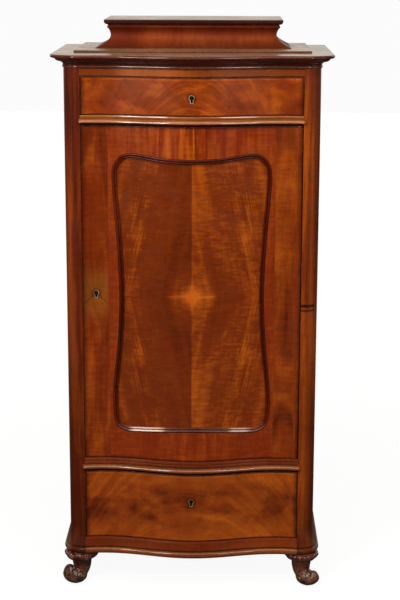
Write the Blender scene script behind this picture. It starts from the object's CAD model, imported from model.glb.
import bpy
import bmesh
import math
from mathutils import Matrix, Vector


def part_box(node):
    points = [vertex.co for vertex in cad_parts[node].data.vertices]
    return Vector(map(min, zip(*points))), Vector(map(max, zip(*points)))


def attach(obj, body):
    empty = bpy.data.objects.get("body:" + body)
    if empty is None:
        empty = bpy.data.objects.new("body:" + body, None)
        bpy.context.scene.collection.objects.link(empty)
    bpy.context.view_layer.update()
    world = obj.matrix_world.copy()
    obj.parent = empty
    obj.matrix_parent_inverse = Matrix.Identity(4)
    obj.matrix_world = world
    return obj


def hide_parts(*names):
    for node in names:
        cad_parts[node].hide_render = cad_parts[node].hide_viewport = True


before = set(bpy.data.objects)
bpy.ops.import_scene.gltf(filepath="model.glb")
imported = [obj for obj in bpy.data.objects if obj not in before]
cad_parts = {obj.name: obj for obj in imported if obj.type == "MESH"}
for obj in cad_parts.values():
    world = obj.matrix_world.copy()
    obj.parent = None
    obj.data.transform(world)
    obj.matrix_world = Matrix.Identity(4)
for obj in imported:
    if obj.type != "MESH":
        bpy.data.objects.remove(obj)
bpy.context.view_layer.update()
print("frame loaded:", len(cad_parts), "nodes")

# the carcase: what the frame can't tell, and where its edges lie
carcase = {
    "halfWidth": 0.3275,
    "depth": 0.424,
    "cornerRadius": 0.040,
    "postWidth": 0.044,
    "railDepth": 0.060,
    "bulge": 0.036,
    "hollowShare": 0.806,
    "gap": 0.0003,
    "doorGap": 0.0012,
    "drawerGap": 0.0011,
    "overrun": 0.010,
    "frontSteps": 112,
    "cornerSteps": 18,
}
gap = carcase["gap"]
sides = ((-1, "left"), (1, "right"))
locked = ("door", "upper_drawer", "lower_drawer")
housed = ("bottom_board", "lower_divider_board", "upper_divider_board", "shelf_lower", "shelf_upper")
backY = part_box("back_panel")[1].y
faceY = backY - carcase["depth"]
halfOpening = carcase["halfWidth"] - carcase["postWidth"]
hollowX = halfOpening * carcase["hollowShare"]
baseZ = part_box("base_rail")[0].z
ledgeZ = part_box("base_rail")[1].z
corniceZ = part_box("cornice")[0].z
doorLow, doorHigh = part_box("door_stile_left")[0].z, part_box("door_stile_left")[1].z


def swell(x):
    return carcase["bulge"] * (1 + math.cos(math.pi * x / hollowX)) / 2


def frontY(x):
    # the smooth serpentine that the drawers, the door and the rails share
    x = min(abs(x), halfOpening)
    return faceY - swell(x) + swell(halfOpening)


def acrossFront(left, right):
    count = max(2, round(carcase["frontSteps"] * (right - left) / (2 * halfOpening)))
    return [left + (right - left) * i / count for i in range(count + 1)]


def arcPoints(centre, radii, start, end, steps):
    # radii is one number for a circle, two for an ellipse
    wide, tall = radii if isinstance(radii, tuple) else (radii, radii)
    turns = [math.radians(start + (end - start) * i / steps) for i in range(steps + 1)]
    return [(centre[0] + wide * math.cos(t), centre[1] + tall * math.sin(t)) for t in turns]


# meshes
def addObject(name, data):
    thing = bpy.data.objects.new(name, data)
    bpy.context.scene.collection.objects.link(thing)
    return thing


def newPiece(name, shape, sharpAngle=35):
    bmesh.ops.remove_doubles(shape, verts=shape.verts, dist=0.000002)
    bmesh.ops.recalc_face_normals(shape, faces=shape.faces)
    if shape.calc_volume(signed=True) < 0:
        bmesh.ops.reverse_faces(shape, faces=shape.faces)
    mesh = bpy.data.meshes.new(name)
    shape.to_mesh(mesh)
    shape.free()
    mesh.shade_smooth()
    mesh.set_sharp_from_angle(angle=math.radians(sharpAngle))
    return addObject(name, mesh)


def takenMesh(piece):
    # the mesh as its modifiers leave it
    graph = bpy.context.evaluated_depsgraph_get()
    return bpy.data.meshes.new_from_object(piece.evaluated_get(graph))


def takenShape(piece):
    shape = bmesh.new()
    shape.from_mesh(takenMesh(piece))
    return shape


def joinRings(shape, rings):
    # rings of one count of points, joined into a closed solid
    rows = [[shape.verts.new(point) for point in ring] for ring in rings]
    shape.faces.new(rows[0][::-1])
    shape.faces.new(rows[-1])
    for lower, upper in zip(rows, rows[1:]):
        for i in range(len(lower)):
            j = (i + 1) % len(lower)
            shape.faces.new((lower[i], lower[j], upper[j], upper[i]))


def loft(name, rings):
    shape = bmesh.new()
    joinRings(shape, rings)
    return newPiece(name, shape)


def stacked(name, profile, plan, base=0.0, side=1):
    # the plan of each (reach, height) of a profile, joined upward
    return loft(name, [[(side * x, y, base + z) for x, y in plan(reach)] for reach, z in profile])


def carvedThrough(piece, cutter, operation="DIFFERENCE"):
    # cuts one piece with another and takes the cutter away
    modifier = piece.modifiers.new("cut", "BOOLEAN")
    modifier.operation = operation
    modifier.object = cutter
    modifier.solver = "EXACT"
    mesh = takenMesh(piece)
    piece.modifiers.clear()
    piece.data = mesh
    mesh.shade_smooth()
    mesh.set_sharp_from_angle(angle=math.radians(35))
    bpy.data.objects.remove(cutter)
    return piece


def cutterBox(low, high):
    shape = bmesh.new()
    bmesh.ops.create_cube(shape, size=1.0)
    low, high = Vector(low), Vector(high)
    bmesh.ops.scale(shape, verts=shape.verts, vec=high - low)
    bmesh.ops.translate(shape, verts=shape.verts, vec=(low + high) / 2)
    return newPiece("cutter", shape)


def dress(piece, body, slot, material, *replaced):
    piece.data.materials.clear()
    piece.data.materials.append(material)
    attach(piece, body)
    if replaced:
        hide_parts(*replaced)
    return piece


# a wire is the output of a node; plus, minus, times and the like on it add math nodes
class Wire:
    def __init__(self, socket):
        self.socket = socket
        self.tree = socket.id_data

    def __add__(self, other):
        return sums("ADD", self, other)

    def __radd__(self, other):
        return sums("ADD", other, self)

    def __sub__(self, other):
        return sums("SUBTRACT", self, other)

    def __rsub__(self, other):
        return sums("SUBTRACT", other, self)

    def __mul__(self, other):
        return sums("MULTIPLY", self, other)

    def __truediv__(self, other):
        return sums("DIVIDE", self, other)

    def __pow__(self, other):
        return sums("POWER", self, other)

    def __abs__(self):
        return sums("ABSOLUTE", self)


def plug(socket, value):
    value = getattr(value, "socket", value)
    if isinstance(value, bpy.types.NodeSocket):
        socket.id_data.links.new(value, socket)
    else:
        socket.default_value = value


def feed(node, plugs):
    for key, value in dict(plugs).items():
        plug(node.inputs[key], value)
    return node


def addNode(tree, kind, plugs=(), **settings):
    node = tree.nodes.new(kind)
    for name, value in settings.items():
        setattr(node, name, value)
    return feed(node, plugs)


def wired(tree, kind, plugs=(), output=0, **settings):
    return Wire(addNode(tree, kind, plugs, **settings).outputs[output])


def sums(operation, *values):
    tree = next(value.tree for value in values if isinstance(value, Wire))
    return wired(tree, "ShaderNodeMath", enumerate(values), operation=operation)


def rescale(value, low, high, newLow=0.0, newHigh=1.0, kind="LINEAR"):
    plugs = enumerate((value, low, high, newLow, newHigh))
    return wired(value.tree, "ShaderNodeMapRange", plugs, interpolation_type=kind)


def eased(value, low, high, newLow=0.0, newHigh=1.0):
    return rescale(value, low, high, newLow, newHigh, "SMOOTHSTEP")


def window(value, start, full, end, gone):
    # rises from start to full, and falls again from end to gone
    return eased(value, start, full) * eased(value, end, gone, 1.0, 0.0)


def centred(value, amount):
    # a 0 to 1 pattern turned into a little more or less of something
    return (value - 0.5) * amount


def stretched(vector, scale, shift=(0, 0, 0)):
    return wired(vector.tree, "ShaderNodeMapping", {"Vector": vector, "Location": shift, "Scale": scale})


def noise(vector, scale, detail=3.0, distortion=0.0):
    plugs = {"Vector": vector, "Scale": scale, "Detail": detail, "Roughness": 0.5, "Distortion": distortion}
    return wired(vector.tree, "ShaderNodeTexNoise", plugs)


def curl(place, amount, long=26.0, tight=150.0):
    # the short level ripples that cross the grain
    return centred(noise(stretched(place, (long, long, tight)), 1.0, 2, 0.5), amount)


def joined(x, y, z):
    return wired(x.tree, "ShaderNodeCombineXYZ", enumerate((x, y, z)))


def parted(vector):
    return [Wire(socket) for socket in addNode(vector.tree, "ShaderNodeSeparateXYZ", {0: vector}).outputs]


def distance(place, spot):
    return wired(place.tree, "ShaderNodeVectorMath", {0: place, 1: spot}, "Value", operation="DISTANCE")


def facingUp(place):
    return parted(wired(place.tree, "ShaderNodeNewGeometry", output="Normal"))[2]


# colours
def colour(red, green, blue):
    # a colour as the eye reads it on a screen, 0 to 255, made linear
    shares = [value / 255 for value in (red, green, blue)]
    return tuple(s / 12.92 if s <= 0.04045 else ((s + 0.055) / 1.055) ** 2.4 for s in shares) + (1.0,)


def mixed(share, first, second, mode="MIX"):
    # a second shade of three numbers is a colour on a screen
    second = colour(*second) if isinstance(second, tuple) and len(second) == 3 else second
    plugs = {"Factor": share, 6: first, 7: second}
    return wired(share.tree, "ShaderNodeMix", plugs, 2, data_type="RGBA", blend_type=mode)


def ramp(value, stops):
    node = addNode(value.tree, "ShaderNodeValToRGB", {0: value})
    elements = node.color_ramp.elements
    while len(elements) < len(stops):
        elements.new(0.5)
    for element, (position, shade) in zip(elements, stops):
        element.position = position
        element.color = colour(*shade)
    return Wire(node.outputs[0])


def startMaterial(name):
    material = bpy.data.materials.new(name)
    material.use_nodes = True
    tree = material.node_tree
    place = wired(tree, "ShaderNodeTexCoord", output="Object")
    place.x, place.y, place.z = parted(place)
    return material, tree.nodes["Principled BSDF"], place


def edgeMask(tree, radius):
    # 1 on an outer or inner edge, 0 on a flat
    bevel = wired(tree, "ShaderNodeBevel", {"Radius": radius}, samples=4)
    normal = wired(tree, "ShaderNodeNewGeometry", output="Normal")
    flat = wired(tree, "ShaderNodeVectorMath", {0: bevel, 1: normal}, "Value", operation="DOT_PRODUCT")
    return rescale(flat, 0.99, 0.80), bevel


# mahogany, french polished
wood = {
    "pores": (62, 22, 10),
    "warm": (0.62, 0.62, 0.20, 1.0),
    "red": (0.52, 0.26, 0.36, 1.0),
    "tinge": 0.28,
    "worn": (176, 116, 66),
    "dirt": (24, 9, 6),
    "stops": (0.12, 0.5, 0.88),
    "alongGrain": 0.045,
    "bandScale": 26.0,
    "streakScale": 330.0,
    "poreScale": 1150.0,
    "poreShare": 0.45,
    "patchScale": 5.0,
    "rippleScale": 24,
    "hueScale": 13,
    "rubbedScale": 55,
    "smudgeScale": 17,
    "edgeRadius": 0.0011,
    "bump": 0.22,
    "bumpDepth": 0.0005,
    "grain": "z",
    "bands": 0.6,
    "streaks": 0.3,
    "ripples": 0.2,
    "rough": 0.24,
    "wear": 0.5,
    "polish": 0.11,
    "polishRough": 0.09,
    "gloss": 0.17,
}
grainStretch = {
    "x": (wood["alongGrain"], 1, 1),
    "y": (1, wood["alongGrain"], 1),
    "z": (1, 1, wood["alongGrain"]),
}
rippleStretch = {"x": (4.0, 1, 0.8), "y": (1, 4.0, 0.8), "z": (0.8, 0.8, 4.0)}


def makeWood(name, kinds, seed, figure=None, marks=None, grain=None):
    # kinds names one look, or one and others laid over it
    look = dict(wood)
    for kind in kinds.split():
        look.update(looks[kind])
    grain = grain or look["grain"]
    material, shader, place = startMaterial(name)
    shift = (seed * 3.7, seed * 5.3, seed * 2.9)
    along = stretched(place, grainStretch[grain], shift)
    streaks = noise(along, look["streakScale"], 2)
    layers = {
        "bands": noise(along, look["bandScale"], 4, 0.7),
        "streaks": streaks,
        "patches": noise(stretched(place, (1, 1, 0.6), shift), look["patchScale"], 2, 0.4),
        "ripples": noise(stretched(place, rippleStretch[grain], shift), look["rippleScale"], 2, 0.5),
    }
    value = 0.5
    for layer, pattern in layers.items():
        value = value + centred(pattern, look[layer])
    if figure:
        value = value + figure(place)
    shade = ramp(value, list(zip(look["stops"], (look["dark"], look["mid"], look["light"]))))
    hue = noise(stretched(place, (1, 1, 0.7), shift), look["hueScale"], 3, 0.7)
    shade = mixed(rescale(hue, 0.50, 0.68, 0.0, look["tinge"]), shade, look["warm"], "OVERLAY")
    shade = mixed(rescale(hue, 0.32, 0.50, look["tinge"], 0.0), shade, look["red"], "OVERLAY")
    pores = rescale(noise(along, look["poreScale"], 1), 0.60, 0.72)
    shade = mixed(pores * look["poreShare"], shade, look["pores"])
    if marks:
        shade = marks(place, shade)
    edges, softNormal = edgeMask(place.tree, look["edgeRadius"])
    rubbed = rescale(noise(stretched(place, (1, 1, 1), shift), look["rubbedScale"]), 0.42, 0.62)
    wear = edges * rubbed * look["wear"]
    shade = mixed(wear, shade, look["worn"])
    if "grime" in look:
        reach = {"Distance": look["grimeReach"]}
        hidden = wired(place.tree, "ShaderNodeAmbientOcclusion", reach, "AO", samples=8, only_local=True)
        shade = mixed(rescale(hidden, 0.35, 0.95, 1.0, 0.0) * look["grime"], shade, look["dirt"])
    smudges = noise(place, look["smudgeScale"], 4, 0.6)
    bumped = wired(place.tree, "ShaderNodeBump", {
        "Strength": look["bump"],
        "Distance": look["bumpDepth"],
        "Height": streaks * 0.5 - pores * 0.35,
        "Normal": softNormal,
    })
    feed(shader, {
        "Base Color": shade,
        "Roughness": rescale(smudges, 0.3, 0.7, look["rough"] - 0.06, look["rough"] + 0.10) + wear * 0.25,
        "Normal": bumped,
        "Specular IOR Level": look["gloss"],
        "Coat Weight": look["polish"],
        "Coat Roughness": look["polishRough"],
    })
    return material


looks = {
    "post": {
        "dark": (48, 14, 6), "mid": (94, 34, 11), "light": (142, 62, 20),
        "bands": 1.9, "streaks": 0.4, "patches": 0.6, "ripples": 0.10,
        "polish": 0.04, "gloss": 0.09,
    },
    "rightPost": {"dark": (66, 20, 8), "mid": (116, 47, 11), "light": (172, 84, 22), "bands": 1.6},
    "base": {
        "dark": (62, 18, 6), "mid": (104, 40, 10), "light": (138, 64, 20),
        "rough": 0.34, "polish": 0.0, "gloss": 0.05,
    },
    "lowerNose": {"dark": (62, 26, 10), "mid": (122, 64, 22), "light": (160, 94, 42), "polish": 0.6},
    "baseNose": {
        "dark": (64, 24, 9), "mid": (122, 60, 22), "light": (156, 90, 40),
        "polish": 0.30, "gloss": 0.2,
    },
    "fillets": {
        "dark": (58, 18, 6), "mid": (100, 40, 18), "light": (136, 66, 34),
        "polish": 0.0, "gloss": 0.10,
    },
    "frieze": {"mid": (117, 53, 14)},
    "rightStile": {"mid": (121, 49, 9)},
    "lower": {"mid": (135, 59, 13)},
    "shaded": {"dark": (24, 6, 2), "mid": (36, 10, 3), "light": (54, 18, 7), "polish": 0.0, "gloss": 0.06},
    "corniceNose": {"dark": (46, 14, 8), "mid": (82, 30, 16), "light": (116, 56, 34), "polish": 0.35},
    "corniceBead": {
        "dark": (54, 16, 8), "mid": (98, 42, 24), "light": (150, 84, 54),
        "polish": 0.7, "gloss": 0.25,
    },
    "plinth": {"dark": (64, 34, 20), "mid": (104, 62, 40), "light": (140, 98, 70), "polish": 0.1},
    "boxTop": {"dark": (28, 8, 4), "mid": (54, 17, 10), "light": (84, 34, 20)},
    "side": {
        "dark": (66, 21, 7), "mid": (104, 39, 12), "light": (142, 66, 20),
        "bands": 0.9, "patches": 0.5, "ripples": 0.3, "rough": 0.29,
    },
    "moulding": {
        "grain": "x", "dark": (84, 36, 10), "mid": (144, 78, 22), "light": (186, 118, 48),
        "patches": 0.3, "rough": 0.29, "wear": 0.75,
        "grime": 0.55, "grimeReach": 0.008, "polish": 0.8, "gloss": 0.3,
    },
    "cornice": {
        "grain": "x", "dark": (32, 9, 4), "mid": (62, 20, 9), "light": (98, 40, 17),
        "patches": 0.5, "wear": 0.6,
        "grime": 0.6, "grimeReach": 0.010, "polish": 0.35,
    },
    "bead": {
        "dark": (36, 8, 3), "mid": (74, 20, 6), "light": (120, 44, 16),
        "bands": 0.5, "patches": 0.6, "rough": 0.22, "wear": 0.6,
        "grime": 0.5, "grimeReach": 0.005, "polish": 0.05, "gloss": 0.09,
    },
    "box": {
        "grain": "x", "dark": (66, 20, 10), "mid": (112, 44, 18), "light": (156, 76, 32),
        "bands": 0.4, "streaks": 0.2, "patches": 1.0, "ripples": 0.35, "rough": 0.42,
        "polish": 0.0, "gloss": 0.05,
    },
    "frame": {
        "dark": (70, 21, 4), "mid": (114, 41, 7), "light": (164, 80, 16),
        "bands": 0.25, "streaks": 0.2, "patches": 0.25, "ripples": 0.0,
    },
    "field": {
        "dark": (80, 22, 5), "mid": (120, 41, 8), "light": (172, 82, 18),
        "bands": 0.25, "streaks": 0.2, "patches": 0.2, "ripples": 0.0,
    },
    "pine": {
        "grain": "x", "dark": (92, 58, 30), "mid": (146, 100, 56), "light": (186, 140, 88),
        "bands": 1.5, "streaks": 0.5, "patches": 0.8, "rough": 0.62, "polish": 0.0,
        "grime": 0.5, "grimeReach": 0.02,
    },
    "panel": {
        "dark": (72, 23, 5), "mid": (112, 43, 8), "light": (182, 90, 20),
        "bands": 0.10, "streaks": 0.10, "patches": 0.15, "ripples": 0.0,
    },
    "drawer": {
        "grain": "x", "dark": (84, 27, 6), "mid": (130, 53, 10), "light": (176, 88, 22),
        "bands": 0.2, "streaks": 0.12, "patches": 0.25, "ripples": 0.0,
    },
    "rear": {
        "dark": (40, 18, 11), "mid": (78, 38, 22), "light": (112, 64, 40),
        "bands": 0.8, "streaks": 0.4, "patches": 0.8, "rough": 0.45,
        "wear": 0.6, "polish": 0.1,
    },
    "carved": {
        "dark": (26, 8, 5), "mid": (74, 26, 14), "light": (132, 68, 38),
        "streaks": 0.4, "patches": 1.2, "ripples": 0.4, "rough": 0.25, "wear": 0.7,
        "grime": 0.9, "grimeReach": 0.010, "polish": 0.6, "gloss": 0.4,
    },
}


# mouldings of the body: each profile is (how far it stands out, height) from the bottom up
bodyMould = {
    "noseReach": 0.0165,
    "noseHeight": 0.018,
    "noseInset": 0.008,
    "flareReach": 0.0115,
    "flareStart": 0.0215,
    "flareHeight": 0.0525,
    "flarePower": 1.55,
    "ledgeClear": 0.001,
    "steps": 12,
}


def baseProfile():
    middle = bodyMould["noseHeight"] / 2
    inset = bodyMould["noseInset"]
    points = arcPoints((inset, middle), (bodyMould["noseReach"] - inset, middle), -90, 90, bodyMould["steps"])
    for i in range(bodyMould["steps"] + 1):
        rise = i / bodyMould["steps"]
        reach = bodyMould["flareReach"] * (1 - rise) ** bodyMould["flarePower"]
        points.append((reach, bodyMould["flareStart"] + bodyMould["flareHeight"] * rise))
    return points


def uprightProfile():
    # of a post or a side, up to the cornice
    return baseProfile() + [(0.0, corniceZ - baseZ - gap)]


def cornerArc(reach):
    radius = carcase["cornerRadius"] + reach
    centre = (carcase["halfWidth"] - carcase["cornerRadius"], faceY + carcase["cornerRadius"])
    return arcPoints(centre, radius, -90, 0, carcase["cornerSteps"])


def bodyPlan(reach):
    right = cornerArc(reach)
    left = [(-x, y) for x, y in reversed(right)]
    front = [(x, frontY(x) - reach) for x in acrossFront(-halfOpening, halfOpening)]
    edge = carcase["halfWidth"] + reach
    return left + front + right + [(edge, backY), (-edge, backY)]


def makePosts():
    back = faceY + carcase["railDepth"]

    def plan(reach):
        inner = [(halfOpening, back), (halfOpening, faceY - reach)]
        return inner + cornerArc(reach) + [(carcase["halfWidth"] + reach, back)]

    for side, hand in sides:
        post = stacked(f"{hand}_post_rounded", uprightProfile(), plan, baseZ, side)
        if hand == "left":
            carvedThrough(post, mortiseFor("door_bolt", (-1, 0)))
            polished = makeWood("leftPost", "post", 2.1 + side, None, flareMarks)
        else:
            polished = makeWood("rightPost", "post rightPost", 2.1 + side, None, postMarks)
        dress(post, "case", "mahogany", polished, f"corner_post_{hand}")


# what time has left on the wood: dirt, dust, wear and repairs
stains = {
    "dust": (200, 166, 128),
    "drawerGap": (40, 10, 2),
    "underBead": (40, 8, 3),
    "underside": (36, 9, 3),
    "boxTop": (56, 10, 4),
    "boxFoot": (66, 28, 16),
    "paleWear": (240, 216, 204),
    "postFoot": (56, 26, 12),
    "postSide": (54, 16, 6),
    "rubbedEdge": (120, 96, 74),
    "grime": (34, 8, 3),
    "patch": (124, 74, 24),
    "seam": (34, 12, 6),
    "olive": (116, 82, 58),
    "pinkKnee": (150, 84, 74),
    "floorDirt": (16, 13, 11),
    "repairLine": (32, 9, 4),
    "split": (30, 10, 5),
    "nailStain": (44, 26, 14),
    "nailHead": (30, 20, 16),
}


def dusty(place, shade):
    # tops that nobody polishes turn pale and dull
    clouds = rescale(noise(place, 7, 4, 0.5), 0.3, 0.7, 0.45)
    streaks = rescale(noise(stretched(place, (0.05, 1, 1)), 130, 3, 0.3), 0.36, 0.64, 0.28, 0.82)
    level = rescale(facingUp(place), 0.97, 0.998)
    return mixed(level * clouds * streaks, shade, stains["dust"])


def friezeMarks(place, shade):
    # dark along the bead above and along the gap over the drawer
    low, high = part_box("frieze_rail")
    ragged = centred(noise(place, 70, 3, 0.5), 0.002)
    beneath = eased(place.z + ragged, low.z, low.z + 0.0036, 0.95, 0.0)
    above = rescale(place.z + ragged, high.z - 0.0034, high.z - 0.0010, 0.0, 0.9)
    return mixed(above, mixed(beneath, shade, stains["drawerGap"]), stains["underBead"])


def friezeFigure(place):
    # a brighter spot left of the middle
    return window(place.x, -0.22, -0.15, -0.07, 0.03) * 0.22


def noseMarks(place, shade):
    # the undersides stay dark: nobody wipes them
    under = rescale(facingUp(place), -0.75, -0.35, 0.9, 0.0)
    return mixed(under, shade, stains["underside"])


def boxMarks(place, shade):
    # old polish has darkened under the upper bead and along the foot of the hollow
    low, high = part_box("box_front")
    ragged = place.z + centred(noise(place, 22, 3, 0.6), 0.006)
    upper = eased(ragged, high.z - 0.026, high.z - 0.009, 0.0, 0.62)
    lower = eased(ragged, low.z + 0.004, low.z + 0.024, 0.55, 0.0)
    shade = mixed(upper, shade, stains["boxTop"])
    return mixed(lower, shade, stains["boxFoot"])


def beadMarks(place, shade):
    # polish worn pale along the top of the lower run
    up = rescale(facingUp(place), 0.10, 0.55)
    low = eased(place.z, panelLow + 0.004, panelLow + 0.030, 1.0, 0.0)
    left = window(place.x, -0.170, -0.148, -0.088, -0.062)
    right = window(place.x, 0.090, 0.112, 0.135, 0.165) * 0.55
    return mixed(up * low * (left + right + 0.08), shade, stains["paleWear"])


def paintBetween(piece, low, high, material):
    # a moulding worked on a piece takes its own finish
    piece.data.materials.append(material)
    for face in piece.data.polygons:
        if low < face.center.z < high:
            face.material_index = len(piece.data.materials) - 1


def mortiseFor(bolt, heading):
    # a bolt slides 10 mm, across or upwards
    low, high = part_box(bolt)
    slack, throw = 0.002, 0.013
    low = (low.x - slack + heading[0] * throw, low.y - slack, low.z - slack)
    return cutterBox(low, (high.x + slack, high.y + slack, high.z + slack + heading[1] * throw))


def flareMarks(place, shade):
    # the foot of a post has darkened, and its outer edge is rubbed greyish
    ragged = place.z + centred(noise(place, 14, 3, 0.5), 0.05)
    low = eased(ragged, 0.115, 0.30, 0.62, 0.0)
    shade = mixed(low, shade, stains["postFoot"])
    outside = eased(place.x, 0.294, 0.304)
    outside = sums("MAXIMUM", outside, rescale(place.x, -0.02, 0.02, 1.0, 0.0))
    half = outside * eased(ragged, 0.35, 1.05, 0.42, 0.0)
    shade = mixed(half, shade, stains["postSide"])
    away = abs(place.x)
    rubbed = rescale(away, 0.322, 0.330) * eased(ragged, 0.13, 0.22, 0.5, 0.0)
    return mixed(rubbed, shade, stains["rubbedEdge"])


repair = {
    "lines": ((0.777, 0.0040, 0.95), (0.765, 0.0022, 0.85), (0.730, 0.0006, 0.3)),
    "fromX": 0.316,
    "toX": 0.322,
    "splitX": 0.2990,
    "splitHalf": 0.0012,
    "splitLow": 0.780,
    "splitHigh": 0.820,
}


def postMarks(place, shade):
    # an old repair across the right post: two dark lines and a short split above them
    shade = flareMarks(place, shade)
    jitter = (noise(place, 60, 2) - 0.5) * 0.004
    height = place.z + jitter
    for level, halfThick, strength in repair["lines"]:
        away = abs(height - level)
        inner = rescale(place.x, repair["fromX"], repair["toX"], strength, 0.0)
        line = rescale(away, halfThick * 0.4, halfThick * 1.5, 1.0, 0.0) * inner
        shade = mixed(line, shade, stains["repairLine"])
    across = abs(place.x + jitter - repair["splitX"])
    split = rescale(across, repair["splitHalf"] / 4, repair["splitHalf"], 0.7, 0.0)
    above = rescale(place.z, repair["splitLow"], repair["splitLow"] + 0.004)
    below = rescale(place.z, repair["splitHigh"] - 0.012, repair["splitHigh"], 1.0, 0.0)
    return mixed(split * above * below, shade, stains["split"])


def makeSides():
    front = faceY + carcase["railDepth"] + gap
    inner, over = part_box("back_panel")[1].x + gap, carcase["overrun"]

    def plan(reach):
        outer = carcase["halfWidth"] + reach
        return [(inner, front), (outer, front), (outer, backY), (inner, backY)]

    for side, hand in sides:
        panel = stacked(f"{hand}_side_moulded", uprightProfile(), plan, baseZ, side)
        for board in housed:
            low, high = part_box(board)
            left, right = sorted((side * (inner - over), side * (high.x + gap)))
            housing = cutterBox((left, low.y - gap, low.z - gap), (right, backY + over, high.z + gap))
            carvedThrough(panel, housing)
        dress(panel, "case", "mahogany", makeWood(f"{hand}Side", "side", 5.3 + side), f"side_panel_{hand}")


noseMould = {
    "reach": 0.012,
    "filletReach": 0.0035,
    "groove": 0.0020,
    "arris": 0.0008,
    "steps": 14,
    "endSteps": 8,
    "endInside": 0.002,
    "lower": {
        "bottom": 0.0045, "height": 0.0145, "below": 0.40, "fillets": 2, "overhang": 0.0062,
        "look": "moulding lowerNose",
    },
    "upper": {
        "bottom": 0.004, "height": 0.0135, "below": 0.25, "fillets": 1, "overhang": 0.0046,
        "look": "moulding",
    },
}


def noseSection(nose, size=1.0):
    # the fullest level lies at the share called below
    full = nose["bottom"] + nose["height"] * nose["below"]
    reach, steps = noseMould["reach"] * size, noseMould["steps"] // 2
    lower = arcPoints((0, full), (reach, nose["height"] * nose["below"] * size), -90, 0, steps)
    upper = arcPoints((0, full), (reach, nose["height"] * (1 - nose["below"]) * size), 0, 90, steps)
    return lower + upper[1:]


def noseProfile(nose, height):
    arris, reach = noseMould["arris"], noseMould["filletReach"]
    points = [(0, 0)] + noseSection(nose)
    top = nose["bottom"] + nose["height"]
    step = (height - top) / nose["fillets"]
    for i in range(nose["fillets"]):
        start, end = top + step * i, top + step * (i + 1)
        if i:
            points.append((reach - noseMould["groove"], start))
        points += [(reach - arris / 2, start + arris / 2), (reach, start + arris * 1.5)]
        points += [(reach, end - arris * 1.5), (reach - arris / 2, end - arris / 2)]
    return points + [(reach - arris * 1.5, height)]


def makeNoseReturns(name, nose, bottom, material):
    # the nose runs on over the posts and ends round
    shape = bmesh.new()
    steps, inside = noseMould["endSteps"], noseMould["endInside"]
    for side in (-1, 1):
        rings = []
        for i in range(steps):
            turn = math.radians(90 * i / (steps - 0.4))
            x = side * (halfOpening - inside + (nose["overhang"] + inside) * math.sin(turn))
            outline = noseSection(nose, math.cos(turn) ** 0.5)
            rings.append([(x, faceY - reach, bottom + z) for reach, z in outline])
        joinRings(shape, rings)
    dress(newPiece(name, shape), "case", "mahogany", material)


def makeRails():
    half, back = halfOpening - gap, faceY + carcase["railDepth"]
    ledge = ledgeZ - baseZ

    def plan(reach):
        front = [(x, frontY(x) - reach) for x in acrossFront(-half, half)]
        return front + [(half, back), (-half, back)]

    profile = [point for point in baseProfile() if point[1] < ledge - bodyMould["ledgeClear"]]
    rise = (ledge - bodyMould["flareStart"]) / bodyMould["flareHeight"]
    ledgeReach = bodyMould["flareReach"] * (1 - rise) ** bodyMould["flarePower"]
    profile += [(ledgeReach, ledge - noseMould["arris"]), (ledgeReach - noseMould["arris"], ledge)]
    base = makeWood("baseRail", "moulding base", 2.6)
    rail = dress(stacked("base_rail_moulded", profile, plan, baseZ), "case", "mahogany", base, "base_rail")
    paintBetween(rail, 0, baseZ + bodyMould["noseHeight"], makeWood("baseNose", "moulding baseNose", 2.2))
    filletWood = makeWood("noseFillets", "moulding fillets", 1.9)
    shadedWood = makeWood("noseUnder", "moulding shaded", 1.2)
    for level, end in (("lower", "bottom"), ("upper", "top")):
        nose = noseMould[level]
        rim, top = (corner.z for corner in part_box(f"{level}_nose_rail"))
        material = makeWood(f"{level}Nose", nose["look"], 1.7, None, noseMarks)
        rail = stacked(f"{level}_nose_moulded", noseProfile(nose, top - rim), plan, rim)
        low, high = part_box(f"hinge_plate_case_{end}")
        under, over = (0, gap) if level == "upper" else (gap, 0)
        near = (low.x - gap, low.y - gap, low.z - under)
        carvedThrough(rail, cutterBox(near, (high.x + gap, high.y + gap, high.z + over)))
        if level == "lower":
            carvedThrough(rail, mortiseFor("lower_drawer_bolt", (0, 1)))
        dress(rail, "case", "mahogany", material, f"{level}_nose_rail")
        if level == "lower":
            paintBetween(rail, rim + nose["bottom"] + nose["height"], top + 1, filletWood)
        paintBetween(rail, 0, rim + nose["bottom"], shadedWood)
        makeNoseReturns(f"{level}_nose_ends", nose, rim, material)
    low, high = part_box("frieze_rail")
    rail = stacked("frieze_veneered", [(0, low.z), (0, high.z)], plan)
    carvedThrough(rail, mortiseFor("upper_drawer_bolt", (0, 1)))
    frieze = makeWood("frieze", "drawer frieze", 4.4, friezeFigure, friezeMarks)
    dress(rail, "case", "mahogany", frieze, "frieze_rail")


corniceMould = {
    "reach": 0.034,
    "beadRadius": 0.003,
    "coveStart": 0.001,
    "coveReach": 0.0045,
    "coveHeight": 0.0055,
    "filletHeight": 0.0025,
    "ovoloStart": 0.0065,
    "ovoloReach": 0.015,
    "ovoloHeight": 0.0070,
    "noseReach": 0.006,
    "noseHeight": 0.0095,
    "quirk": 0.0005,
    "steps": 10,
}


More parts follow.
